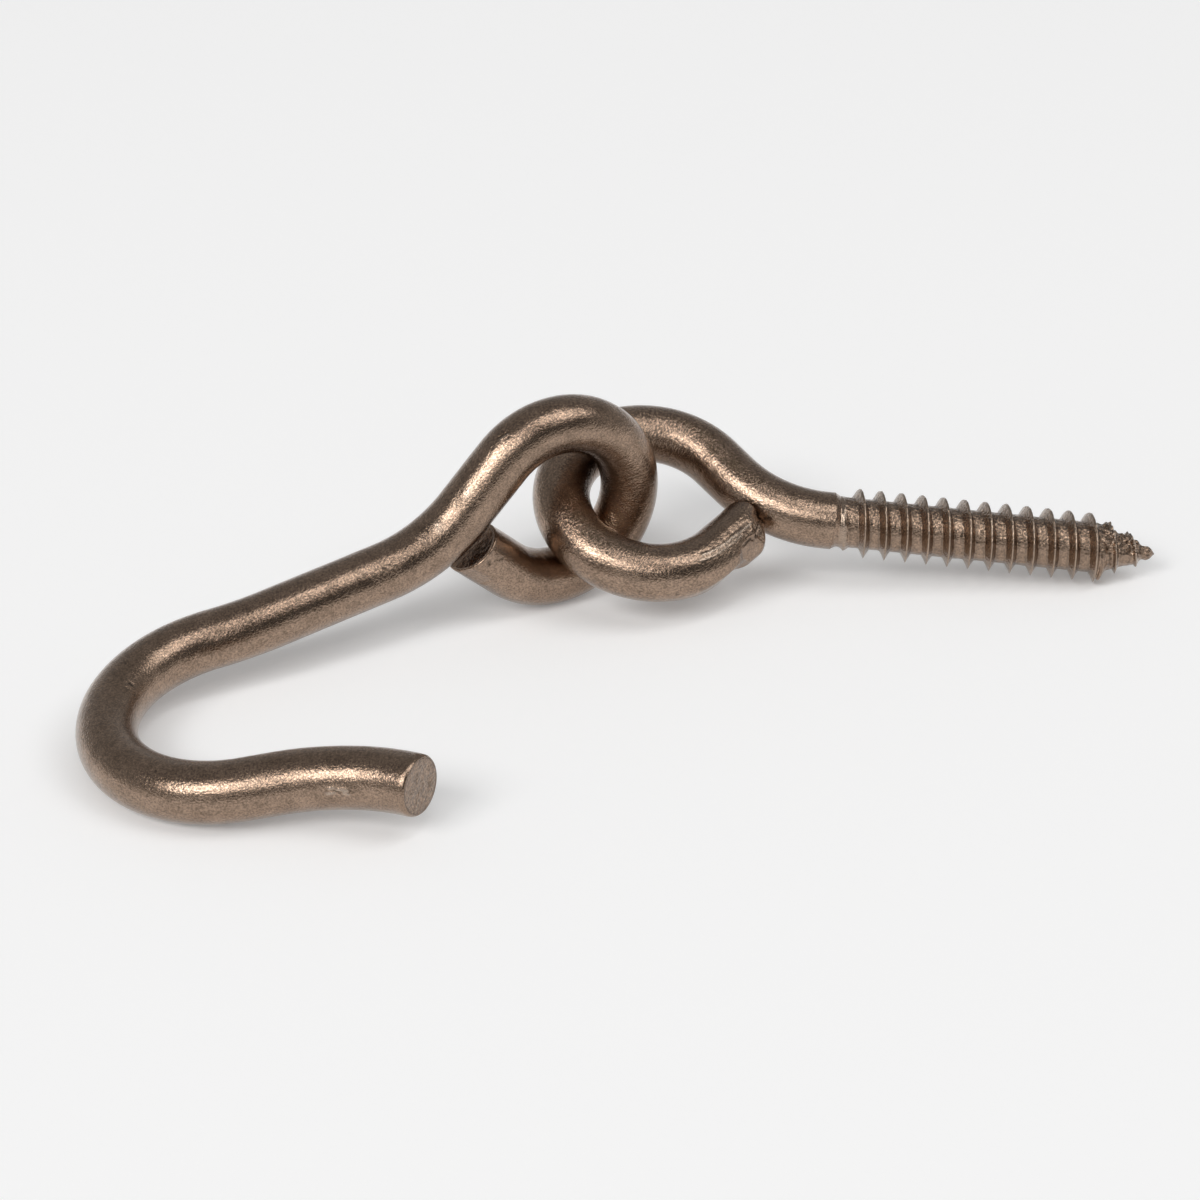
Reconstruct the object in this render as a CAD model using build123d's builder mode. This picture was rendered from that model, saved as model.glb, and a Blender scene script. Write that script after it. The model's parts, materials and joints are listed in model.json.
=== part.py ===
from build123d import *
import os
from math import acos, asin, atan, atan2, ceil, cos, degrees, hypot, radians, sin

# A lag-thread screw eye with an open hook linked through it for good.
# Both pieces are cold-bent from one size of round steel wire and lie on a floor at z = 0.
# Millimetres throughout; every bend radius is taken to the wire's centre line.

# ---- wire --------------------------------------------------------------------
wire_dia = 7.94
cut_ease = 0.35            # chamfer on the hook's sawn tip

# ---- screw eye ---------------------------------------------------------------
screw_eye_bore = 16.5
screw_slope_length = 3.8   # straight wire between the ring and the neck's bend
screw_neck_radius = 17.4
screw_tail_length = 7.5    # straight free end, which the ring's bend doesn't reach
screw_end_gap = 0.4        # it is sheared off this far from the neck
shank_length = 0.95        # full round wire between the neck and the thread

# ---- lag thread --------------------------------------------------------------
shoulder_length = 0.8      # bevel from the wire down to the thread's core
thread_length = 36.5       # on the parallel core
point_length = 7.8         # the core's taper
thread_pitch = 2.92
core_dia = 7.0
thread_height = 1.34
thread_base = 1.6          # width of a ridge where it leaves the core
thread_crest = 0.34        # width of its flat crest
run_in_length = 2.6        # from the shoulder to where the ridge has its full height
thread_clock = 265.0       # the ridge's bearing where the taper starts, from the ring's plane
tip_dia = 2.2
tip_stub_length = 1.3      # bare end of the point
tip_ridge_height = 0.5     # the ridge has shrunk to this where it ends
tip_ridge_base = 0.8
ridge_sink = 0.35          # depth that a ridge is rooted in the core
ridge_lap = 0.6            # the point's ridge starts this far inside the parallel one
ridge_ease = 0.05          # and this much smaller all round

# ---- hook --------------------------------------------------------------------
hook_eye_bore = 14.9
hook_slope_length = 8.5
hook_neck_radius = 21.5
hook_tail_length = 7.2
hook_end_gap = 1.0
hook_shank_length = 16.2   # straight wire between the neck and the counter-bend
counter_radius = 46.0      # gentle counter-bend before the hook's main bend
counter_turn = 11.2
bend_radius = 17.2
bend_turn = 168.0
arm_length = 4.3
flare_radius = 29.8        # the arm's outward curl at the mouth
flare_turn = 35.5

# ---- how the two lie ---------------------------------------------------------
link_gap = 0.15            # left between the two wires where one lies on the other
link_slack = 2.25          # how far the linked eyes are from being pulled tight
link_bearing = 17.6        # direction from the hook's eye to the screw eye, in plan
hook_bearing = 208.5       # direction of the hook's shank, in plan
hook_roll = -1.7           # the hook leans to its bend's side until it balances
screw_roll = -65.8         # the screw eye's ring leans over on the hook's eye

wire_r = wire_dia / 2
core_r = core_dia / 2
major_r = core_r + thread_height


class Eye:
    """Centre-line sizes of an eye: a tail, a ring about the origin and a neck onto the X axis."""

    def __init__(self, bore, slope_length, neck_radius, tail_length, end_gap):
        self.radius = bore / 2 + wire_r
        self.slope_length = slope_length
        self.neck_radius = neck_radius
        self.tail_length = tail_length
        # The neck's slope leaves the ring where its bend will just meet the axis.
        offset = self.radius + neck_radius
        self.turn = degrees(
            acos(neck_radius / hypot(offset, slope_length)) - atan(slope_length / offset)
        )
        slope = radians(self.turn)
        self.neck_end = offset * sin(slope) + slope_length * cos(slope)
        # The straight tail leaves the ring where its end will come end_gap short of the neck.
        reach = hypot(self.neck_end, neck_radius)
        near = neck_radius + wire_r + end_gap
        tail_reach = hypot(self.radius, tail_length)
        opening = (tail_reach**2 + reach**2 - near**2) / (2 * tail_reach * reach)
        end_bearing = atan2(neck_radius, self.neck_end) - acos(opening)
        self.tail_angle = degrees(end_bearing - atan(tail_length / self.radius))

    def shear_plane(self):
        """The plane of the tail's cut, parallel to the neck and facing it."""
        end = Vector(self.radius, self.tail_length, 0).rotate(Axis.Z, self.tail_angle)
        towards_neck = Vector(self.neck_end, self.neck_radius, 0) - end
        return Plane(origin=end, x_dir=(0, 0, 1), z_dir=towards_neck)


def wire_section(path):
    """The round wire's section, square to the start of its path."""
    with BuildSketch(Plane(origin=path @ 0, z_dir=path % 0)) as section:
        Circle(wire_r)
    return section.sketch


def eye_wire(eye, shank_end):
    """An eye with its neck and straight shank, its tail sheared beside the neck."""
    with BuildPart() as free_half:
        with BuildLine() as path:
            ring = CenterArc((0, 0), eye.radius, 180, 180 + eye.tail_angle)
            Line(ring @ 1, (ring @ 1) + (ring % 1) * (eye.tail_length + wire_dia))
        sweep(sections=wire_section(path.wire()), path=path.wire())
        split(bisect_by=eye.shear_plane(), keep=Keep.BOTTOM)
    with BuildPart() as wire:
        with BuildLine() as path:
            ring = CenterArc((0, 0), eye.radius, 180, -90 - eye.turn)
            slope = Line(ring @ 1, (ring @ 1) + (ring % 1) * eye.slope_length)
            neck = JernArc(slope @ 1, slope % 1, eye.neck_radius, eye.turn)
            Line(neck @ 1, (shank_end, 0))
        sweep(sections=wire_section(path.wire()), path=path.wire())
        add(free_half.part)
    return wire.part


def ridge_section(plane, height, base):
    """A thread ridge's V section; its X points out from the thread's axis."""
    root = base + (base - thread_crest) * ridge_sink / height
    with BuildSketch(plane) as section:
        Polygon(
            (-ridge_sink, -root / 2),
            (height, -thread_crest / 2),
            (height, thread_crest / 2),
            (-ridge_sink, root / 2),
            align=None,
        )
    return section.sketch


def ridge_plane(helix, at):
    """The section plane of a helix about Z, at its start (0) or end (1)."""
    point = helix @ at
    return Plane(origin=point, x_dir=(point.X, point.Y, 0), z_dir=helix % at)


def lag_screw():
    """The threaded end about Z, its core from z = 0 up, with a shoulder and a plug below."""
    tip_at = thread_length + point_length
    with BuildPart() as one_turn:
        with BuildLine() as path:
            helix = Helix(thread_pitch, thread_pitch, core_r)
        full = ridge_section(ridge_plane(helix, 0), thread_height, thread_base)
        sweep(sections=full, path=path.wire(), is_frenet=True)
    # The same ridge shrinks as it winds down the point.
    taper = degrees(atan((core_r - tip_dia / 2) / (point_length - tip_dia / 2)))
    wound = Plane.XY.rotated((0, 0, -360 * ridge_lap / thread_pitch))
    with BuildPart() as point_turns:
        with BuildLine(wound) as path:
            helix = Helix(
                thread_pitch,
                point_length + ridge_lap - tip_stub_length,
                core_r,
                center=(0, 0, thread_length - ridge_lap),
                cone_angle=-taper,
            )
        full = ridge_section(
            ridge_plane(helix, 0), thread_height - ridge_ease, thread_base - 2 * ridge_ease
        )
        last = ridge_section(ridge_plane(helix, 1), tip_ridge_height, tip_ridge_base)
        sweep(sections=[full, last], path=path.wire(), multisection=True, is_frenet=True)
    # Whole turns reach back from the start of the taper to below the shoulder. The ridge is
    # then trimmed between two cones: it grows out of the shoulder and comes down to the tip.
    cone_reach = thread_height * point_length / (major_r - tip_dia / 2)
    turns = ceil(thread_length / thread_pitch)
    turn_starts = [thread_length - thread_pitch * (n + 1) for n in range(turns)]
    with BuildPart() as ridge:
        with Locations(*[(0, 0, start) for start in turn_starts]):
            add(one_turn.part)
        add(point_turns.part)
        with BuildSketch(Plane.XZ):
            with BuildLine():
                Polyline(
                    (0, -thread_pitch),
                    (core_r, 0),
                    (major_r + thread_height, 2 * run_in_length),
                    (major_r + thread_height, thread_length - cone_reach),
                    (tip_dia / 2, tip_at),
                    (0, tip_at),
                    close=True,
                )
            make_face()
        revolve(axis=Axis.Z, mode=Mode.INTERSECT)
    with BuildPart() as screw:
        with BuildSketch(Plane.XZ):
            with BuildLine():
                Polyline(
                    (0, -shoulder_length - thread_pitch),
                    (core_r, -shoulder_length - thread_pitch),
                    (core_r, -shoulder_length),
                    (wire_r, -shoulder_length),
                    (core_r, 0),
                    (core_r, thread_length),
                    (tip_dia / 2, tip_at - tip_dia / 2),
                    (tip_dia / 5, tip_at),
                    (0, tip_at),
                    close=True,
                )
            make_face()
        revolve(axis=Axis.Z)
        add(ridge.part)
    return screw.part


def hook_bend():
    """The hook's shank, main bend and flared arm, in the XZ plane of the hook's own frame."""
    with BuildPart() as bend:
        with BuildLine(Plane.XZ) as path:
            shank = Line((hook_ring.neck_end, 0), (hook_shank_end, 0))
            counter = JernArc(shank @ 1, shank % 1, counter_radius, counter_turn)
            main = JernArc(counter @ 1, counter % 1, bend_radius, -bend_turn)
            arm = Line(main @ 1, (main @ 1) + (main % 1) * arm_length)
            JernArc(arm @ 1, arm % 1, flare_radius, flare_turn)
        sweep(sections=wire_section(path.wire()), path=path.wire())
        tip = bend.faces().sort_by_distance(path.wire() @ 1)[0]
        chamfer(tip.edges(), cut_ease)
    return bend.part


def lying_plane(bearing, dip, roll, origin=(0, 0, 0)):
    """A plane whose X runs along the bearing and dips below level; at no roll its Y stands up."""
    along = Vector(1, 0, 0).rotate(Axis.Y, dip).rotate(Axis.Z, bearing)
    normal = Vector(0, -1, 0).rotate(Axis.Z, bearing)
    normal = normal.rotate(Axis((0, 0, 0), along), roll)
    return Plane(origin=origin, x_dir=along, z_dir=normal)


def drop(plane, radius):
    """How far a circle in the plane's XY reaches below its own centre."""
    return radius * hypot(plane.x_dir.Z, plane.y_dir.Z)


def bisect(low, high, is_low):
    """The value between two bounds where is_low() turns false."""
    for _ in range(40):
        middle = (low + high) / 2
        if is_low(middle):
            low = middle
        else:
            high = middle
    return (low + high) / 2


def hook_lie():
    """The hook's plane as it lies: its eye stands on the floor and so does its main bend."""
    turn = radians(counter_turn)
    bend_centre = (
        hook_shank_end + (counter_radius + bend_radius) * sin(turn),
        0,
        counter_radius - (counter_radius + bend_radius) * cos(turn),
    )

    def bend_hangs(dip):
        plane = lying_plane(hook_bearing, dip, hook_roll)
        bend_plane = Plane(origin=(0, 0, 0), x_dir=plane.x_dir, z_dir=plane.y_dir)
        bend_bottom = plane.from_local_coords(bend_centre).Z - drop(bend_plane, bend_radius)
        return bend_bottom > -drop(plane, hook_ring.radius)

    dip = bisect(0, 45, bend_hangs)
    height = wire_r + drop(lying_plane(hook_bearing, dip, hook_roll), hook_ring.radius)
    return lying_plane(hook_bearing, dip, hook_roll, (0, 0, height))


def screw_eye_lie(hook_plane):
    """The screw eye's plane as it lies: its thread on the floor, its ring on the hook's eye."""
    taut = screw_ring.radius + hook_ring.radius - wire_dia
    reach = Vector(taut - link_slack, 0, 0).rotate(Axis.Z, link_bearing)
    hook_circle = Edge.make_circle(hook_ring.radius, hook_plane)

    def lean(height):
        # The last full turn of the thread touches the floor.
        dip = asin(height / hypot(point_at, major_r)) - atan(major_r / point_at)
        return lying_plane(0, degrees(dip), screw_roll, (reach.X, reach.Y, height))

    def rings_foul(height):
        screw_circle = Edge.make_circle(screw_ring.radius, lean(height))
        return screw_circle.distance_to(hook_circle) < wire_dia + link_gap

    level = hook_plane.origin.Z
    return lean(bisect(level - hook_eye_bore / 2, level, rings_foul))


screw_ring = Eye(
    screw_eye_bore, screw_slope_length, screw_neck_radius, screw_tail_length, screw_end_gap
)
hook_ring = Eye(
    hook_eye_bore, hook_slope_length, hook_neck_radius, hook_tail_length, hook_end_gap
)
shank_end = screw_ring.neck_end + shank_length
core_at = shank_end + shoulder_length
point_at = core_at + thread_length
hook_shank_end = hook_ring.neck_end + hook_shank_length

# ---- the two forms, each about the centre of its own eye ----------------------
with BuildPart() as screw_form:
    add(eye_wire(screw_ring, shank_end))
    ridge_start = Vector(0, 1, 0).rotate(Axis.X, thread_clock)
    thread_plane = Plane(origin=(core_at, 0, 0), x_dir=ridge_start, z_dir=(1, 0, 0))
    add(thread_plane.location * lag_screw())

with BuildPart() as hook_form:
    add(eye_wire(hook_ring, hook_ring.neck_end))
    add(hook_bend())

# ---- laid on the floor, with the middle of the pair's box over the origin ------
hook_plane = hook_lie()
screw_plane = screw_eye_lie(hook_plane)
pair = Compound([hook_plane.location * hook_form.part, screw_plane.location * screw_form.part])
box = pair.bounding_box()
centring = Vector(-box.center().X, -box.center().Y, -box.min.Z)
hook_plane = Plane(hook_plane.origin + centring, hook_plane.x_dir, hook_plane.z_dir)
screw_plane = Plane(screw_plane.origin + centring, screw_plane.x_dir, screw_plane.z_dir)

with BuildPart(screw_plane) as screw_eye:
    add(screw_form.part)
screw_eye.part.label = "screw_eye"

with BuildPart(hook_plane) as hook:
    add(hook_form.part)
hook.part.label = "hook"

if __name__ == "__main__":
    os.makedirs("parts", exist_ok=True)
    export_step(screw_eye.part, "parts/screw_eye.step")
    export_step(hook.part, "parts/hook.step")
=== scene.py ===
"""A lag-thread screw eye with an open hook linked through it, in drawn steel wire.

Each piece is one mesh swept along its bent wire. Lengths are in millimetres, as in the CAD
source, and MM turns them into the frame's metres. A bearing is an angle round the wire in
degrees: 0 is the way the eye's normal points, and 90 is to the right of the wire's heading.
"""
import json
import math

import bmesh
import bpy
import numpy as np
from mathutils import Matrix, Vector, noise


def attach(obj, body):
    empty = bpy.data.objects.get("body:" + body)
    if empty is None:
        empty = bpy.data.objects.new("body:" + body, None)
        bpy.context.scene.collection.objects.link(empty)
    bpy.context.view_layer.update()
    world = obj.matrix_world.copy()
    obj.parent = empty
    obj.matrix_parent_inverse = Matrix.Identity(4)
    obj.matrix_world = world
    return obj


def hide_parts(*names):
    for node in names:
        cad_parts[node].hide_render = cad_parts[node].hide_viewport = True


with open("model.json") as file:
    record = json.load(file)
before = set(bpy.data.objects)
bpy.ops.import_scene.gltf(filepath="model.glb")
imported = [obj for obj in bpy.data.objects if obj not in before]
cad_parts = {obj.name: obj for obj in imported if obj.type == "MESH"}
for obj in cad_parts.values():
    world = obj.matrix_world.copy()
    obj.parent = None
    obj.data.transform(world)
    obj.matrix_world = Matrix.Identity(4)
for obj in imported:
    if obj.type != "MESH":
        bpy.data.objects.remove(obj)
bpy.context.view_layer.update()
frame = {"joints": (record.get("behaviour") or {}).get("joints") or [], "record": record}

MM = 0.001

# ---- sizes, as in the CAD source ------------------------------------------------
WIRE_R = 3.97
TIP_EASE = 0.35

SCREW_RING_R = 12.22
SCREW_SLOPE = 3.8
SCREW_NECK_R = 17.4
SCREW_TURN = 47.051
SCREW_TAIL = 7.5
SCREW_TAIL_ANGLE = -39.181
SCREW_SHANK = 0.95
SCREW_ROLL = -65.8
SCREW_NECK_END = 24.27

SHOULDER = 0.8
THREAD_LENGTH = 36.5
POINT_LENGTH = 7.8
PITCH = 2.92
CORE_R = 3.5
THREAD_HEIGHT = 1.34
RUN_IN = 2.6
THREAD_CLOCK = 85.0
CORE_AT = SCREW_NECK_END + SCREW_SHANK + SHOULDER
TAPER_AT = CORE_AT + THREAD_LENGTH
TIP_AT = TAPER_AT + POINT_LENGTH

HOOK_RING_R = 11.42
HOOK_SLOPE = 8.5
HOOK_NECK_R = 21.5
HOOK_TURN = 36.298
HOOK_TAIL = 7.2
HOOK_TAIL_ANGLE = -39.017
HOOK_NECK_END = 26.339
HOOK_SHANK = 16.2
COUNTER_R, COUNTER_TURN = 46.0, 11.2
BEND_R, BEND_TURN = 17.2, 168.0
ARM = 4.3
FLARE_R, FLARE_TURN = 29.8, 35.5

# ---- mesh fineness --------------------------------------------------------------
AROUND = 144
ANGLES = np.arange(AROUND) * 2 * np.pi / AROUND
COARSE, FINE = 0.5, 0.14
# Rings crowd at a wire's two ends, and the even spacing begins and stops a little inside them.
NEAR_END = np.array([0, 0.03, 0.08, 0.16, 0.28, 0.40])
FIRST_STATION, LAST_GAP = 0.5, 0.55
CAP_RINGS = 14
WELD = 0.004

# ---- wire ends ------------------------------------------------------------------
START_EASE = 0.22
TIP_SLOPE = 0.8
# Rings lie along the slant of the shear, and square to the wire this far on.
SHEAR_SETTLES = 9.0
# A flat that stands this far outside the wire takes nothing off it.
FLAT_CLEAR = 0.05
FLAT_EDGE = 0.035

# ---- wear and painted shade: worked by tools, grime with painted shade in hollows, and scuff, each from 0 to 1 ---
# Dents are painted darker by their depth, as painted shade, and are fully dark at this depth.
FULL_DENT_SHADE_DEPTH = 0.09
FULL_SCUFF_HEIGHT = 0.06
SHEARED_FACE = (0.4, 0.2, 0.0)
SAWN_FACE = (0.5, 0.3, 0.0)
PINCHED_FACE = (0.8, 0.3, 0.0)

# Start and end of each dent or scratch, as places along the wire and bearings, and its half
# width and height.
HOOK_MARKS = [
    (1.0, 181, 1.2, 184, 0.20, -0.16),
    (1.6, 172, 2.6, 160, 0.12, -0.08),
    (10.7, 112, 11.7, 121, 0.10, 0.06),
    (57.7, 252, 58.9, 257, 0.12, -0.10),
    (57.9, 248, 58.8, 252, 0.12, 0.05),
    (67.2, 246, 68.4, 232, 0.45, -0.05),
    (66.6, 240, 66.9, 232, 0.50, 0.03),
    (74.6, 246, 75.8, 226, 0.80, -0.07),
    (73.0, 240, 73.3, 232, 0.70, 0.03),
    (81.9, 215, 82.0, 215, 0.18, -0.06),
    (82.6, 221, 82.7, 222, 0.20, -0.09),
    (83.0, 213, 83.0, 214, 0.16, -0.05),
    (83.5, 218, 83.6, 219, 0.22, -0.09),
    (84.3, 224, 84.4, 224, 0.16, -0.05),
    (85.0, 216, 85.1, 217, 0.15, -0.07),
    (86.6, 221, 86.7, 220, 0.18, -0.06),
    (124.5, 228, 124.7, 230, 0.30, -0.14),
    (169.4, 352, 170.6, 350, 0.14, 0.09),
    (170.9, 345, 172.4, 346, 0.16, 0.11),
    (170.4, 347, 171.6, 349, 0.13, -0.12),
    (171.8, 351, 172.6, 353, 0.13, 0.09),
    (172.7, 347, 173.4, 349, 0.13, -0.11),
    (169.8, 342, 170.5, 341, 0.13, 0.08),
]
SCREW_MARKS = [
    (3.1, 311, 1.3, 328, 0.16, -0.30),
    (5.7, 313, 4.2, 316, 0.13, -0.20),
    (4.2, 316, 3.6, 306, 0.12, -0.14),
    (2.8, 339, 11.5, 344, 0.15, 0.07),
    (2.6, 347, 12.0, 349, 0.10, -0.05),
    (5.0, 333, 12.0, 334, 0.16, 0.05),
    (55.1, 358, 55.7, 362, 0.15, -0.10),
]
# Middle of each worked patch along the wire, bearing, length, width in degrees and strength.
HOOK_BRUISES = [
    (90, 210, 400, 400, 0.14),
    (83.5, 218, 3.0, 14, 0.8),
    (75, 236, 2.5, 18, 0.7),
    (68, 240, 1.5, 14, 0.6),
    (171.5, 348, 2.4, 12, 0.8),
    (125, 229, 1.5, 14, 0.7),
]
SCREW_BRUISES = [
    (25, 300, 60, 400, 0.22),
    (30, 335, 3.5, 24, 0.9),
    (5.5, 336, 7, 18, 0.9),
    (50, 20, 20, 60, 0.5),
]
# Stretches of the wire whose rings are close together.
HOOK_FINE = [(0, 5), (10, 12.4), (57, 60), (81.4, 87.2), (123.8, 125.4), (169, 174)]
SCREW_FINE = [(0, 13), (54.8, 56)]

# ---- thread ---------------------------------------------------------------------
# The core's radius at places along the screw: shoulder, thread, cone, waist, nub and tip.
CORE_PROFILE = [
    (CORE_AT - SHOULDER, WIRE_R),
    (CORE_AT, CORE_R),
    (TAPER_AT, CORE_R),
    (TIP_AT - 4.6, 2.30),
    (TIP_AT - 2.6, 1.75),
    (TIP_AT - 1.8, 1.0),
    (TIP_AT - 0.9, 1.0),
    (TIP_AT - 0.5, 0.68),
    (TIP_AT, 0.04),
]
# The share of its full height that the ridge has at places along the screw.
RIDGE_PROFILE = [
    (CORE_AT, 0.0),
    (CORE_AT + RUN_IN, 1.0),
    (TAPER_AT - 0.3, 1.0),
    (TAPER_AT + 1.0, 0.66),
    (TIP_AT - 4.8, 0.62),
    (TIP_AT - 2.4, 0.46),
    (TIP_AT - 1.7, 0.0),
]
# The ridge is thinner on the point.
RIDGE_WIDTH = [(TAPER_AT - 1.0, 1.0), (TAPER_AT + 1.4, 0.55)]
CREST_WEAR = 0.06
BACK_FOOT, FRONT_FOOT = 0.84, 0.74
SHARP_EDGE, BACK_BLUNTING, FRONT_BLUNTING = 0.03, 0.10, 0.08
BLUNT_BEARING = 292
FLANK_POWER = 1.15
# Across the ridge, how far each of the grid's lines is from the crest.
RIDGE_LINES = np.array([-1.3, -1.1, -0.95, -0.83, -0.72, -0.6, -0.46, -0.32, -0.22, -0.12, 0.0,
                        0.09, 0.15, 0.2, 0.26, 0.36, 0.48, 0.6, 0.74, 0.9, 1.1, 1.3])
# Turns of the grid beyond each end, which are pressed flat there and welded away.
SPARE_TURNS = 2

# ---- steel ----------------------------------------------------------------------
DARK_OXIDE, PALE_OXIDE = (0.260, 0.180, 0.126), (0.355, 0.250, 0.180)
PIT = (0.35, 0.33, 0.31)
DRAWN_LINE = (0.78, 0.76, 0.74)
# Neutral dark colour of grime on cut faces and folded scale, and of painted shade in dents and the
# thread's roots.
GRIME_AND_SHADE = (0.26, 0.25, 0.235)
BARE_STEEL = (0.52, 0.43, 0.35)
WHITE = (1.0, 1.0, 1.0)

# ---- stage ----------------------------------------------------------------------
FLOOR_SIZE = 30.0
FLOOR_COLOUR = (0.92, 0.92, 0.92)
FLOOR_ROUGHNESS = 0.9
FLOOR_LIFT = 0.16
# Name, azimuth, elevation, width and height in degrees, and brightness of each softbox.
SOFTBOXES = [
    ("key", -22, 41, 54, 22, 3.2),
    ("key_core", -40, 40, 20, 18, 4.6),
    ("overhead", 44, 69, 38, 10, 3.2),
    ("right", 72, 50, 30, 20, 2.6),
]
SOFTBOX_DISTANCE = 6.0
DIM_AZIMUTH, DIM_ELEVATION = 32, 22
CAMERA_SENSOR, CAMERA_LENS = 36.0, 103.13
CAMERA_FROM_SCREW_EYE = np.array([-7.03, -420.63, 213.1])
CAMERA_ELEVATION, CAMERA_TILT = 28.49, -0.796


# ---- helpers ----------------------------------------------------------------------
def unit(v):
    return v / np.linalg.norm(v)


def smooth(value, low, high):
    """0 below low, 1 above high, and an even ease between them."""
    t = np.clip((value - low) / (high - low), 0, 1)
    return t * t * (3 - 2 * t)


def profile(x, stops):
    """The value at x on straight lines between (place, value) stops."""
    places, values = zip(*stops)
    return np.interp(x, places, values)


def towards(around, bearing):
    """The cosine of the angle between a bearing and each angle round the wire."""
    return np.cos(around - math.radians(bearing))


def degrees_off(around, bearing):
    """How far each angle round the wire is from a bearing, from -180 to 180 degrees."""
    return (np.degrees(around) - bearing + 180) % 360 - 180


# ---- frames of the two pieces ----------------------------------------------------
class Place:
    """A piece's own axes: its eye's centre, its shank's way and its eye's normal."""

    def __init__(self, origin, x, z):
        self.origin = origin
        self.axes = np.array([x, np.cross(z, x), z])

    def to_frame(self, points):
        return (self.origin + points @ self.axes) * MM


mounts = {m["name"]: m for m in frame["record"]["mounts"]}
swing = frame["joints"][0]

hook_origin = np.array(swing["pos_m"]) / MM
hook_normal = unit(np.array(swing["axis"]))
to_saddle = np.array(mounts["hook_saddle"]["pos_m"]) / MM - hook_origin
hook_along = unit(to_saddle - hook_normal * (to_saddle @ hook_normal))
hook_place = Place(hook_origin, hook_along, hook_normal)

screw_along = unit(np.array(mounts["lag_thread"]["axis"]))
thread_middle = np.array(mounts["lag_thread"]["pos_m"]) / MM
screw_origin = thread_middle - screw_along * (CORE_AT + THREAD_LENGTH / 2)
roll = Matrix.Rotation(math.radians(SCREW_ROLL), 3, Vector(screw_along))
screw_place = Place(screw_origin, screw_along, np.array(roll @ Vector((0, -1, 0))))


# ---- bent wire --------------------------------------------------------------------
def turned(vectors, axis, angle):
    """Vectors turned about a unit axis, each by its own angle."""
    c, s = np.cos(angle)[:, None], np.sin(angle)[:, None]
    along = (vectors @ axis)[:, None] * axis
    return along + (vectors - along) * c + np.cross(axis, vectors) * s


class Wire:
    """A centre line of straight legs and bends. Its frame of heading, up and side never twists."""

    def __init__(self, point, heading, up):
        self.point, self.heading, self.up = point, heading, up
        self.length = 0.0
        self.legs = []

    def side(self):
        return np.cross(self.heading, self.up)

    def add(self, length, axis=None, radius=0.0):
        leg = dict(at=self.length, point=self.point, heading=self.heading, up=self.up,
                   side=self.side(), axis=axis, radius=radius)
        self.legs.append(leg)
        point, up, _, heading = self.along_leg(leg, np.array([length]))
        self.point, self.up, self.heading = point[0], up[0], heading[0]
        self.length += length

    def straight(self, length):
        self.add(length)

    def bend(self, radius, degrees, about):
        """Bends about the frame's own up or side; positive by the right-hand rule."""
        axis = self.up if about == "up" else self.side()
        self.add(radius * math.radians(abs(degrees)), axis * math.copysign(1, degrees), radius)

    @staticmethod
    def along_leg(leg, d):
        """The middle points at distances d along a leg, and the frame's up, side and heading."""
        vectors = [np.repeat(leg[k][None], len(d), 0) for k in ("up", "side", "heading")]
        if leg["axis"] is None:
            return (leg["point"] + leg["heading"] * d[:, None], *vectors)
        angle = d / leg["radius"]
        centre = leg["point"] + np.cross(leg["axis"], leg["heading"]) * leg["radius"]
        arm = np.repeat((leg["point"] - centre)[None], len(d), 0)
        turned_vectors = [turned(v, leg["axis"], angle) for v in vectors]
        return (centre + turned(arm, leg["axis"], angle), *turned_vectors)

    def surface(self, s, angle, radius):
        """The points at distances s along, at angles round and at radii from the middle."""
        points = np.zeros((len(s), 3))
        starts = np.array([leg["at"] for leg in self.legs])
        which = np.clip(np.searchsorted(starts, s, side="right") - 1, 0, None)
        for k, leg in enumerate(self.legs):
            here = which == k
            if here.any():
                point, up, side, _ = self.along_leg(leg, s[here] - leg["at"])
                out = up * np.cos(angle[here])[:, None] + side * np.sin(angle[here])[:, None]
                points[here] = point + out * radius[here][:, None]
        return points


def eye_wire(ring_r, tail, tail_angle, turn, slope, neck_r):
    """An eye's wire from its sheared tail, round the ring and down the neck onto the X axis."""
    t = math.radians(tail_angle)
    outward = np.array([math.cos(t), math.sin(t), 0.0])
    onward = np.array([math.sin(t), -math.cos(t), 0.0])
    wire = Wire(ring_r * outward - tail * onward, onward, np.array([0.0, 0.0, 1.0]))
    wire.straight(tail)
    wire.bend(ring_r, -(270 + turn + tail_angle), "up")
    wire.straight(slope)
    wire.bend(neck_r, turn, "up")
    return wire


def shear(wire, neck_end, neck_r):
    """How far along the tail each line of its surface meets the plane of the shear."""
    start = wire.legs[0]
    normal = unit(np.array([neck_end, neck_r, 0.0]) - start["point"])
    return -WIRE_R * np.sin(ANGLES) * (start["side"] @ normal) / (start["heading"] @ normal)


# ---- shapes on the wire's surface ---------------------------------------------------
def waves(along, around, depth, length, seed):
    """Smooth hollows up to a depth, which follow the wire through its bends."""
    at = np.stack([np.cos(around) * WIRE_R, np.sin(around) * WIRE_R, along], -1) / length
    flat = [noise.noise(Vector((x, y, z + seed))) for x, y, z in at.reshape(-1, 3)]
    return -depth * (0.5 + 0.5 * np.array(flat).reshape(along.shape))


def flattened(radius, around, bearing, depth):
    """A flat that faces a bearing and takes a depth off the wire, with a slightly soft edge."""
    # Only the side of the wire that leans towards the bearing can be cut.
    facing = 0.3
    lean = towards(around, bearing)
    reach = WIRE_R + FLAT_CLEAR - depth
    flat = np.where(lean > facing, reach / np.maximum(lean, facing), 99.0)
    return -FLAT_EDGE * np.logaddexp(-radius / FLAT_EDGE, -flat / FLAT_EDGE)


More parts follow.
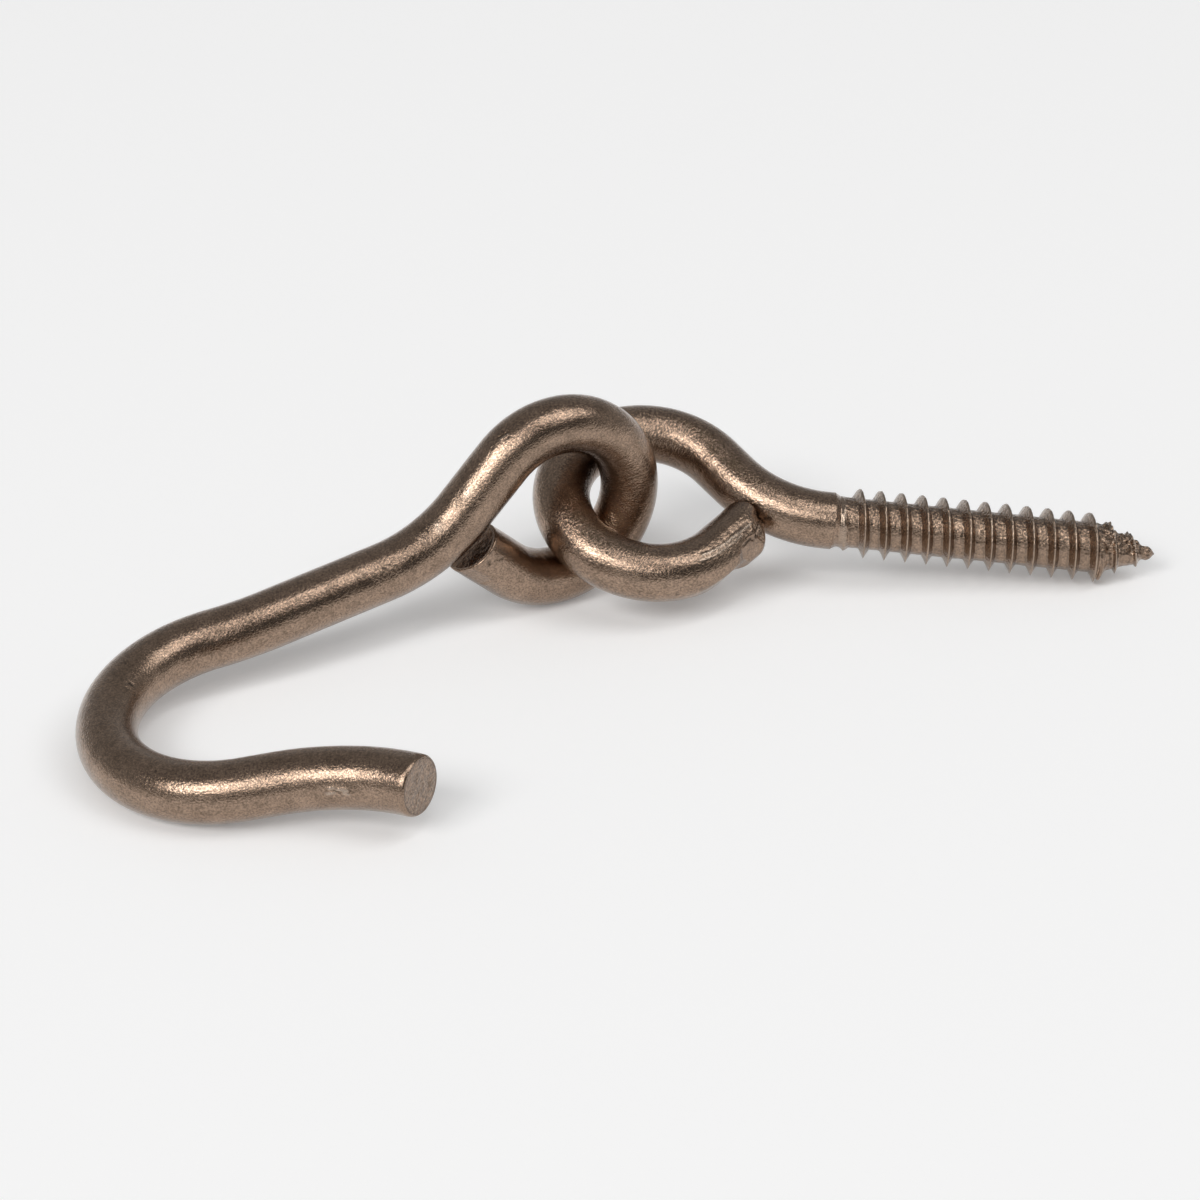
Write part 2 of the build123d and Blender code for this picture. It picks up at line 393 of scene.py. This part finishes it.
def strokes(along, around, marks):
    """The height that dents and scratches add, each with soft sides and round ends."""
    total = np.zeros(along.shape)
    for s0, b0, s1, b1, width, height in marks:
        run = np.array([s1 - s0, math.radians(b1 - b0) * WIRE_R])
        at = np.stack([along - s0, np.radians(degrees_off(around, b0)) * WIRE_R], -1)
        share = np.clip(at @ run / max(run @ run, 1e-9), 0, 1)
        far = np.linalg.norm(at - share[..., None] * run, axis=-1)
        total += height * np.exp(-((far / width) ** 2))
    return total


def worked_patches(along, around, bruises):
    worked = np.zeros(along.shape)
    for at, bearing, length, width, strength in bruises:
        off = degrees_off(around, bearing)
        patch = strength * np.exp(-(((along - at) / length) ** 2) - (off / width) ** 2)
        worked = np.maximum(worked, patch)
    return worked


def hook_shape(along, around, radius):
    # The last few millimetres before the shear are pressed in a little, up to a small step.
    pressed = 0.20 * (1 - smooth(along, 3.5, 3.9))
    radius = flattened(radius, around, bearing=226, depth=pressed)
    return radius + waves(along, around, depth=0.05, length=6.0, seed=11.0)


def screw_shape(along, around, radius):
    # The outer side is pinched flat. Beyond the flat, the end stands out in a blunt knob.
    pinch = 0.85 * (1 - smooth(along, 6.2, 14.5)) * smooth(along, 4.6, 6.0)
    radius = flattened(radius, around, bearing=250, depth=pinch)
    knob = 2.7
    outer = smooth(towards(around, 283), -0.1, 0.6)
    radius = radius - 2.0 * outer * (np.clip(knob - along, 0, 2.9) / knob) ** 2
    cheek = 0.50 * (1 - smooth(along, 6.0, 7.6)) * smooth(along, 2.2, 3.0)
    radius = flattened(radius, around, bearing=291, depth=cheek)
    brow = 0.55 * (1 - smooth(along, 2.6, 3.2))
    radius = flattened(radius, around, bearing=311, depth=brow)
    ragged = (1 - smooth(along, 7.0, 13.0)) * smooth(towards(around, 335), 0.85, 1.0)
    radius = radius + ragged * waves(along, around, depth=0.22, length=0.7, seed=31.0)
    return radius + waves(along, around, depth=0.05, length=6.0, seed=47.0)


# ---- meshes -----------------------------------------------------------------------
def grid_faces(rows):
    """Quads between the rings of a tube."""
    k, j = np.meshgrid(np.arange(rows - 1), np.arange(AROUND), indexing="ij")
    after = (j + 1) % AROUND
    quads = np.stack([k * AROUND + j, k * AROUND + after,
                      (k + 1) * AROUND + after, (k + 1) * AROUND + j], -1)
    return quads.reshape(-1, 4)


def helix_faces(rows):
    """Quads of the thread's grid, whose lines go on into the next turn's after a full circle."""
    k, j = np.meshgrid(np.arange(rows), np.arange(AROUND), indexing="ij")
    after = (j + 1) % AROUND
    shift = np.where(after == 0, len(RIDGE_LINES), 0)
    usable = k + 1 + shift < rows
    a = k * AROUND + j
    b = (k + shift) * AROUND + after
    return np.stack([a, b, b + AROUND, a + AROUND], -1)[usable]


def cap_points(rim, relief, seed):
    """Rings that close a rim towards its middle, with the rough face that a cutter leaves."""
    middle = rim.mean(0)
    normal = unit(np.cross(rim[0] - middle, rim[len(rim) // 4] - middle))
    shares = 1 - np.arange(1, CAP_RINGS) / CAP_RINGS
    points = middle + (rim - middle)[None] * shares[:, None, None]
    for ring in points:
        for p in ring:
            coarse = noise.noise(Vector(p * 0.9) + Vector((seed, 0, 0)))
            fine = noise.noise(Vector(p * 3.1) + Vector((0, seed, 0)))
            p += normal * relief * (coarse + 0.4 * fine)
    return np.concatenate([points.reshape(-1, 3), middle[None]])


def cap_faces(rim_start, first, flip):
    """Faces of a cap over a rim: rings of quads, then triangles round the middle."""
    rows = [np.arange(AROUND) + rim_start]
    rows += [first + i * AROUND + np.arange(AROUND) for i in range(CAP_RINGS - 1)]
    after = (np.arange(AROUND) + 1) % AROUND
    quads = np.concatenate([np.stack([a, b, b[after], a[after]], -1)
                            for a, b in zip(rows, rows[1:])])
    middle = np.full(AROUND, first + (CAP_RINGS - 1) * AROUND)
    triangles = np.stack([rows[-1], middle, rows[-1][after]], -1)
    if flip:
        quads, triangles = quads[:, ::-1], triangles[:, ::-1]
    return quads.tolist() + triangles.tolist()


class Skin:
    """A piece's mesh as it grows: points, where they lie on unbent wire, their wear and painted
    shade, faces.
    """

    def __init__(self):
        self.points = self.straight = self.wear_and_shade = np.zeros((0, 3))
        self.faces = []

    def add(self, points, straight, wear_and_shade, faces):
        self.points = np.concatenate([self.points, points])
        self.straight = np.concatenate([self.straight, straight])
        self.wear_and_shade = np.concatenate([self.wear_and_shade, wear_and_shade])
        self.faces += faces

    def close(self, rim_start, relief, seed, wear_and_shade, flip=False):
        points = cap_points(self.points[rim_start:rim_start + AROUND], relief, seed)
        faces = cap_faces(rim_start, len(self.points), flip)
        self.add(points, points, np.tile(wear_and_shade, (len(points), 1)), faces)


def tube(wire, cut, tip_ease, shape, marks, bruises, fine):
    """The skin of a wire between its two end rings."""
    at, stations = FIRST_STATION, []
    while at < wire.length - LAST_GAP:
        stations.append(at)
        at += FINE if any(a <= at < b for a, b in fine) else COARSE
    # The far end does without the innermost of the crowded rings.
    s = np.concatenate([NEAR_END, stations, wire.length - NEAR_END[-2::-1]])
    slant = np.clip(1 - s / SHEAR_SETTLES, 0, 1)[:, None] ** 2
    along = s[:, None] + slant * cut[None]
    around = np.repeat(ANGLES[None], len(s), 0)

    inset = np.clip(START_EASE - s, 0, None)[:, None]
    radius = np.full(along.shape, WIRE_R)
    radius -= START_EASE - np.sqrt(np.clip(START_EASE**2 - inset**2, 0, None))
    radius -= TIP_SLOPE * np.clip(tip_ease - (wire.length - s), 0, None)[:, None]
    radius = shape(along, around, radius)
    marked = strokes(along, around, marks)
    radius += marked

    points = wire.surface(along.ravel(), around.ravel(), radius.ravel())
    straight = np.stack([radius * np.cos(around), radius * np.sin(around), along], -1)
    # Worked patches; dents painted darker by their depth, which is painted shade; raised marks
    # scuffed bare.
    wear_and_shade = np.stack([worked_patches(along, around, bruises),
                     np.clip(-marked / FULL_DENT_SHADE_DEPTH, 0, 1),
                     np.clip(marked / FULL_SCUFF_HEIGHT, 0, 1)], -1)
    skin = Skin()
    skin.add(points, straight.reshape(-1, 3), wear_and_shade.reshape(-1, 3), grid_faces(len(s)).tolist())
    return skin


def make_piece(name, skin, place):
    mesh = bpy.data.meshes.new(name)
    mesh.from_pydata(place.to_frame(skin.points).tolist(), [], skin.faces)
    for attribute, values in (("straight", skin.straight), ("wear_and_shade", skin.wear_and_shade)):
        layer = mesh.attributes.new(attribute, "FLOAT_VECTOR", "POINT")
        layer.data.foreach_set("vector", values.astype(np.float32).ravel())
    mesh.polygons.foreach_set("use_smooth", np.ones(len(mesh.polygons), dtype=bool))
    mesh.update()
    mesh.materials.append(drawn_steel)
    piece = bpy.data.objects.new(name, mesh)
    bpy.context.scene.collection.objects.link(piece)
    return piece


def weld(piece):
    """Joins points that lie on each other, drops what has no area and closes what is open."""
    mesh = bmesh.new()
    mesh.from_mesh(piece.data)
    bmesh.ops.remove_doubles(mesh, verts=mesh.verts, dist=WELD * MM)
    bmesh.ops.dissolve_degenerate(mesh, edges=mesh.edges, dist=WELD * MM)
    loose = [v for v in mesh.verts if not v.link_faces]
    bmesh.ops.delete(mesh, geom=loose, context="VERTS")
    rim = [e for e in mesh.edges if e.is_boundary]
    bmesh.ops.holes_fill(mesh, edges=rim, sides=0)
    for face in mesh.faces:
        face.smooth = True
    mesh.to_mesh(piece.data)
    mesh.free()


# ---- node graphs --------------------------------------------------------------------
class Graph:
    """The nodes of a material or a world, with short ways to add and link them."""

    def __init__(self, owner):
        owner.use_nodes = True
        self.nodes, self.links = owner.node_tree.nodes, owner.node_tree.links

    def put(self, socket, value):
        """Links a socket to another node's output, or sets it to a value or a colour."""
        if isinstance(value, bpy.types.NodeSocket):
            self.links.new(value, socket)
        elif socket.type == "RGBA":
            socket.default_value = (*value, 1.0)
        else:
            socket.default_value = value

    def add(self, kind, inputs, **settings):
        node = self.nodes.new("ShaderNode" + kind)
        for name, value in settings.items():
            setattr(node, name, value)
        for name, value in inputs.items():
            self.put(node.inputs[name], value)
        return node

    def attribute(self, name):
        return self.add("Attribute", {}, attribute_name=name).outputs["Vector"]

    def scaled(self, vector, scale):
        return self.add("Mapping", {"Vector": vector, "Scale": scale}).outputs["Vector"]

    def clouds(self, vector, scale, detail, roughness=0.5):
        inputs = {"Vector": vector, "Scale": scale, "Detail": detail, "Roughness": roughness}
        return self.add("TexNoise", inputs).outputs["Fac"]

    def ramp(self, value, low, low_colour, high, high_colour):
        node = self.add("ValToRGB", {"Fac": value})
        stops = ((low, low_colour), (high, high_colour))
        for element, (at, colour) in zip(node.color_ramp.elements, stops):
            element.position = at
            element.color = (*colour, 1.0)
        return node.outputs["Color"]

    def mix(self, kind, amount, a, b):
        colours = {"Factor": amount, 6: a, 7: b}
        return self.add("Mix", colours, data_type="RGBA", blend_type=kind).outputs[2]

    def calculate(self, operation, a, b):
        return self.add("Math", {0: a, 1: b}, operation=operation).outputs[0]

    def ranged(self, value, low, high, to_low, to_high, **settings):
        inputs = {"Value": value, "From Min": low, "From Max": high,
                  "To Min": to_low, "To Max": to_high}
        return self.add("MapRange", inputs, **settings).outputs["Result"]

    def bump(self, height, distance, before=None):
        inputs = {"Height": height, "Strength": 1.0, "Distance": distance * MM}
        if before is not None:
            inputs["Normal"] = before
        return self.add("Bump", inputs).outputs["Normal"]


# ---- steel material -----------------------------------------------------------------
def steel():
    material = bpy.data.materials.new("drawn_steel")
    graph = Graph(material)
    shader = graph.nodes["Principled BSDF"]
    shader.inputs["Metallic"].default_value = 1.0

    wear_and_shade = graph.add("SeparateXYZ", {"Vector": graph.attribute("wear_and_shade")})
    worked, grime_and_shade, scuff = wear_and_shade.outputs
    even = graph.attribute("straight")
    lengthwise = graph.scaled(even, (1, 1, 0.07))

    mottle = graph.clouds(even, scale=0.45, detail=4, roughness=0.6)
    grain = graph.clouds(even, scale=3.4, detail=3, roughness=0.6)
    fine_grain = graph.clouds(even, scale=4.2, detail=3, roughness=0.6)
    chips = graph.clouds(even, scale=3.0, detail=3, roughness=0.6)
    pits = graph.clouds(even, scale=1.7, detail=5, roughness=0.7)
    streaks = graph.clouds(lengthwise, scale=2.6, detail=5, roughness=0.65)
    unevenness = graph.clouds(even, scale=0.6, detail=2)
    wrinkles = graph.clouds(even, scale=2.6, detail=3, roughness=0.6)

    tone = graph.ramp(mottle, 0.32, DARK_OXIDE, 0.68, PALE_OXIDE)
    specks = graph.ramp(pits, 0.30, PIT, 0.42, WHITE)
    lines = graph.ramp(streaks, 0.33, DRAWN_LINE, 0.52, WHITE)
    colour = graph.mix("MULTIPLY", 0.7, tone, specks)
    colour = graph.mix("MULTIPLY", 1.0, colour, graph.ranged(fine_grain, 0.34, 0.66, 0.62, 1.30))
    colour = graph.mix("MULTIPLY", worked, colour, graph.ranged(chips, 0.38, 0.62, 0.40, 1.65))
    colour = graph.mix("MULTIPLY", 0.4, colour, lines)
    # Grime on cut faces and folded scale, and painted shade that darkens dents and the thread's
    # roots.
    colour = graph.mix("MULTIPLY", graph.calculate("MULTIPLY", grime_and_shade, 0.75), colour, GRIME_AND_SHADE)
    colour = graph.mix("MIX", graph.calculate("MULTIPLY", scuff, 0.6), colour, BARE_STEEL)
    graph.put(shader.inputs["Base Color"], colour)

    gloss = graph.ranged(grain, 0.3, 0.7, 0.19, 0.12)
    dulled = graph.calculate("MULTIPLY", worked, 0.05)
    graph.put(shader.inputs["Roughness"], graph.calculate("ADD", gloss, dulled))

    normal = graph.bump(unevenness, 0.06)
    normal = graph.bump(streaks, 0.006, normal)
    normal = graph.bump(grain, 0.055, normal)
    normal = graph.bump(graph.calculate("MULTIPLY", wrinkles, worked), 0.20, normal)
    graph.put(shader.inputs["Normal"], normal)
    # A thin clear coat gives the highlights a crisper and paler core.
    shader.inputs["Coat Weight"].default_value = 0.4
    shader.inputs["Coat Roughness"].default_value = 0.07
    graph.put(shader.inputs["Coat Normal"], normal)
    return material


drawn_steel = steel()


# ---- the hook ---------------------------------------------------------------------
def build_hook():
    wire = eye_wire(HOOK_RING_R, HOOK_TAIL, HOOK_TAIL_ANGLE, HOOK_TURN, HOOK_SLOPE, HOOK_NECK_R)
    wire.straight(HOOK_SHANK)
    wire.bend(COUNTER_R, COUNTER_TURN, "side")
    wire.bend(BEND_R, -BEND_TURN, "side")
    wire.straight(ARM)
    wire.bend(FLARE_R, FLARE_TURN, "side")

    cut = shear(wire, HOOK_NECK_END, HOOK_NECK_R)
    skin = tube(wire, cut, TIP_EASE, hook_shape, HOOK_MARKS, HOOK_BRUISES, HOOK_FINE)
    last_rim = len(skin.points) - AROUND
    skin.close(0, relief=0.06, seed=3.0, wear_and_shade=SHEARED_FACE)
    skin.close(last_rim, relief=0.07, seed=9.0, wear_and_shade=SAWN_FACE, flip=True)
    piece = make_piece("hook_wire", skin, hook_place)
    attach(piece, "hook")
    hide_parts("hook")


# ---- the screw eye ----------------------------------------------------------------
def thread_surface(x, around, offset):
    """The thread's radius at x along the screw and an offset from the crest.

    With it comes how far each point is in the ridge's foot, and how far up the ridge.
    """
    width = profile(x, RIDGE_WIDTH)
    back_foot, front_foot = BACK_FOOT * width, FRONT_FOOT * width
    # Crests are blunter on the upper side of the screw.
    blunt = 0.5 + 0.5 * towards(around, BLUNT_BEARING)
    back_edge = (SHARP_EDGE + BACK_BLUNTING * blunt) * width
    front_edge = (SHARP_EDGE + FRONT_BLUNTING * blunt) * width
    back = (offset + back_foot) / (back_foot - back_edge)
    front = (front_foot - offset) / (front_foot - front_edge)
    flank = np.clip(np.minimum(back, front), 0, 1)
    height = profile(x, RIDGE_PROFILE) * (THREAD_HEIGHT - CREST_WEAR)
    # The rolled crest has a small lip along its front edge.
    lip = 0.04 * np.exp(-(((offset - front_edge + 0.02) / 0.07) ** 2))
    ridge = height * (flank**FLANK_POWER + lip)
    # The last full turn runs out in a wide blunt lump low on the screw.
    lump = (np.exp(-(((x - TAPER_AT - 0.15) / 0.55) ** 2))
            * np.exp(-((degrees_off(around, 112) / 34) ** 2)))
    ridge = np.maximum(ridge, 1.2 * lump * (offset > 0))
    # The ridge's foot where it meets the core, which is later painted darker as painted shade.
    foot = np.exp(-(((np.abs(offset) - 0.92) / 0.14) ** 2)) * smooth(x, CORE_AT, CORE_AT + 1.5)
    return profile(x, CORE_PROFILE) + ridge, foot, np.sqrt(flank) * (height > 0)


def build_thread():
    """The threaded end as a helical grid, from the shank's last ring to the tip, and its wear and
    painted shade.
    """
    lead = PITCH * np.degrees(ANGLES + math.pi / 2 - math.radians(THREAD_CLOCK)) / 360
    last_turn = int((TIP_AT - CORE_AT) / PITCH)
    turns = np.arange(-SPARE_TURNS, last_turn + SPARE_TURNS + 1)
    offset = RIDGE_LINES[None, :, None]
    x = CORE_AT + lead[None, None] + PITCH * turns[:, None, None] + offset
    x = np.clip(x, CORE_AT - SHOULDER, TIP_AT)
    offset = np.broadcast_to(offset, x.shape)
    around = np.broadcast_to(ANGLES[None, None], x.shape)

    radius, foot, rubbed = thread_surface(x, around, offset)
    rolled = smooth(x, CORE_AT, CORE_AT + 1.0)
    radius = radius + waves(x, around, depth=0.12, length=0.55, seed=5.0) * rolled
    # Folded scale and burrs on the upper side of the point.
    upper = smooth(towards(around, -12), 0.35, 0.8)
    folded = (upper * smooth(x, TAPER_AT - 1.2, TAPER_AT + 0.4)
              * (1 - smooth(x, TIP_AT - 2.2, TIP_AT - 1.6)))
    radius = radius + folded * (0.35 + waves(x, around, depth=1.1, length=0.75, seed=23.0))
    nub = smooth(x, TIP_AT - 1.8, TIP_AT - 1.4) * (1 - smooth(x, TIP_AT - 0.9, TIP_AT - 0.3))
    radius = radius + nub * (0.12 + waves(x, around, depth=0.3, length=0.6, seed=61.0))
    radius = np.maximum(radius, 0.05)

    points = np.stack([x, -radius * np.sin(around), radius * np.cos(around)], -1)
    bruised = 0.22 + 0.55 * smooth(towards(around, -20), 0.1, 0.8) + 0.2 * folded
    # The thread's roots are painted darker, as painted shade; the folded scale gets grime.
    wear_and_shade = np.stack([rolled * bruised, 0.45 * foot + 0.30 * folded, 0.55 * rubbed], -1)
    return points.reshape(-1, 3), wear_and_shade.reshape(-1, 3)


def build_screw_eye():
    wire = eye_wire(SCREW_RING_R, SCREW_TAIL, SCREW_TAIL_ANGLE, SCREW_TURN, SCREW_SLOPE,
                    SCREW_NECK_R)
    wire.straight(SCREW_SHANK)

    cut = shear(wire, SCREW_NECK_END, SCREW_NECK_R)
    skin = tube(wire, cut, 0.0, screw_shape, SCREW_MARKS, SCREW_BRUISES, SCREW_FINE)
    skin.close(0, relief=0.18, seed=5.0, wear_and_shade=PINCHED_FACE)

    thread, thread_wear_and_shade = build_thread()
    rows = len(thread) // AROUND
    around = np.tile(ANGLES, rows)
    radius = np.hypot(thread[:, 1], thread[:, 2])
    straight = np.stack([radius * np.cos(around), radius * np.sin(around),
                         thread[:, 0] - (CORE_AT - SHOULDER) + wire.length], -1)
    skin.add(thread, straight, thread_wear_and_shade, (helix_faces(rows) + len(skin.points)).tolist())
    piece = make_piece("screw_eye_wire", skin, screw_place)
    weld(piece)
    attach(piece, "screw_eye")
    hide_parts("screw_eye")


# ---- stage ------------------------------------------------------------------------
def pale_material():
    """A pale floor, lifted towards white where a camera, a reflection or glass shows it."""
    material = bpy.data.materials.new("pale_floor")
    graph = Graph(material)
    shader = graph.nodes["Principled BSDF"]
    graph.put(shader.inputs["Base Color"], FLOOR_COLOUR)
    graph.put(shader.inputs["Roughness"], FLOOR_ROUGHNESS)
    graph.put(shader.inputs["Emission Color"], WHITE)
    path = graph.add("LightPath", {})
    shown = path.outputs["Is Camera Ray"]
    for ray in ("Is Glossy Ray", "Is Transmission Ray"):
        shown = graph.calculate("MAXIMUM", shown, path.outputs[ray])
    lift = graph.calculate("MULTIPLY", shown, FLOOR_LIFT)
    graph.put(shader.inputs["Emission Strength"], lift)
    return material


def build_floor():
    bpy.ops.mesh.primitive_plane_add(size=FLOOR_SIZE, location=(0, 0, 0))
    floor = bpy.context.object
    floor.name = "floor"
    floor.data.materials.append(pale_material())


def way_to(azimuth, elevation):
    """The way to a lamp. Azimuth 0 is the camera's side, and + is to the right."""
    a, e = math.radians(azimuth), math.radians(elevation)
    return Vector((math.sin(a) * math.cos(e), -math.cos(a) * math.cos(e), math.sin(e)))


def softbox(name, azimuth, elevation, width, height, brightness):
    """An area lamp that faces the part, as wide and high as the degrees say."""
    lamp = bpy.data.lights.new(name, "AREA")
    lamp.shape = "RECTANGLE"
    lamp.size = 2 * SOFTBOX_DISTANCE * math.tan(math.radians(width / 2))
    lamp.size_y = 2 * SOFTBOX_DISTANCE * math.tan(math.radians(height / 2))
    lamp.energy = brightness * math.pi * lamp.size * lamp.size_y
    holder = bpy.data.objects.new(name, lamp)
    way = way_to(azimuth, elevation)
    holder.location = way * SOFTBOX_DISTANCE
    holder.rotation_mode = "QUATERNION"
    holder.rotation_quaternion = way.to_track_quat("Z", "Y")
    holder.visible_camera = False
    bpy.context.scene.collection.objects.link(holder)


def build_world():
    """A grey room, lighter low down, and dim on the camera's right."""
    world = bpy.data.worlds.new("studio")
    graph = Graph(world)
    ways = graph.add("TexCoord", {}).outputs["Generated"]

    def lobe(way, start, end, outside, inside):
        """A value that changes towards a way, by the cosine of the angle to it."""
        dot = graph.add("VectorMath", {0: ways, 1: way}, operation="DOT_PRODUCT")
        return graph.ranged(dot.outputs["Value"], start, end, outside, inside,
                            interpolation_type="SMOOTHSTEP")

    high_up = lobe((0, 0, 1), start=0.0, end=0.6, outside=0.44, inside=0.27)
    dim = lobe(way_to(DIM_AZIMUTH, DIM_ELEVATION), start=0.6, end=0.93, outside=1.0, inside=0.4)
    background = graph.nodes["Background"]
    graph.put(background.inputs["Strength"], graph.calculate("MULTIPLY", high_up, dim))
    graph.put(background.inputs["Color"], WHITE)
    bpy.context.scene.world = world


def build_camera():
    data = bpy.data.cameras.new("camera")
    data.sensor_width = CAMERA_SENSOR
    data.lens = CAMERA_LENS
    camera = bpy.data.objects.new("camera", data)
    camera.location = Vector((screw_place.origin + CAMERA_FROM_SCREW_EYE) * MM)
    elevation, tilt = math.radians(CAMERA_ELEVATION), math.radians(CAMERA_TILT)
    look = Matrix.Rotation(math.pi / 2 - elevation, 3, "X") @ Matrix.Rotation(tilt, 3, "Z")
    camera.rotation_mode = "QUATERNION"
    camera.rotation_quaternion = look.to_quaternion()
    bpy.context.scene.collection.objects.link(camera)
    bpy.context.scene.camera = camera


build_hook()
build_screw_eye()
build_floor()
for box in SOFTBOXES:
    softbox(*box)
build_world()
build_camera()
bpy.context.scene.view_settings.view_transform = "Standard"
